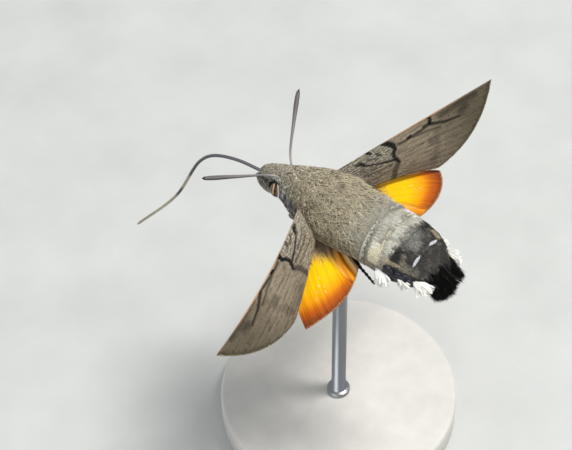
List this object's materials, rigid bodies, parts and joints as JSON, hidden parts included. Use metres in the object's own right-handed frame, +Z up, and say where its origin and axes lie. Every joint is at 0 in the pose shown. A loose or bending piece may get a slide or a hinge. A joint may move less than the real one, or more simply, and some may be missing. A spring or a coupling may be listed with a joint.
{
  "type": "hummingbird hawk moth",
  "caption": "Life-size hovering day-flying hawk moth with spread wings, feeding proboscis and dark tail brush, fixed on a plain display stand.",
  "frame": {"origin": "centre of the underside of the stand's base", "axes": "+Z up; the moth is level, its head points to -Y and its own left side is +X"},
  "size_m": [0.0517, 0.0494, 0.0433],
  "materials": {
    "body_fur": "matt grey-brown fur",
    "abdomen_scales": "matt scales, grey in front, blackish behind, white at the sides",
    "tail_scales": "satin black scales",
    "forewing_scales": "matt grey-brown scales with dark lines",
    "hindwing_scales": "satin orange scales with a rust margin",
    "eye_shell": "glossy brown",
    "antenna_scales": "matt grey scales",
    "proboscis_horn": "satin dark grey horn",
    "leg_scales": "matt brown-grey scales",
    "stand_paint": "plain off-white lacquer",
    "stand_steel": "plain steel rod"
  },
  "bodies": {
    "root": {"head": "body_fur", "eye_left": "eye_shell", "eye_right": "eye_shell", "palp_left": "body_fur", "palp_right": "body_fur", "antenna_left": "antenna_scales", "antenna_right": "antenna_scales", "proboscis_upper": "proboscis_horn", "proboscis_knee": "proboscis_horn", "proboscis_lower": "proboscis_horn", "thorax": "body_fur", "abdomen": "abdomen_scales", "tail_fan": "tail_scales", "forewing_left": "forewing_scales", "forewing_right": "forewing_scales", "hindwing_left": "hindwing_scales", "hindwing_right": "hindwing_scales", "foreleg_left": "leg_scales", "foreleg_right": "leg_scales", "midleg_left": "leg_scales", "midleg_right": "leg_scales", "hindleg_left": "leg_scales", "hindleg_right": "leg_scales", "stand_base": "stand_paint", "stand_rod": "stand_steel"}
  },
  "joints": []
}
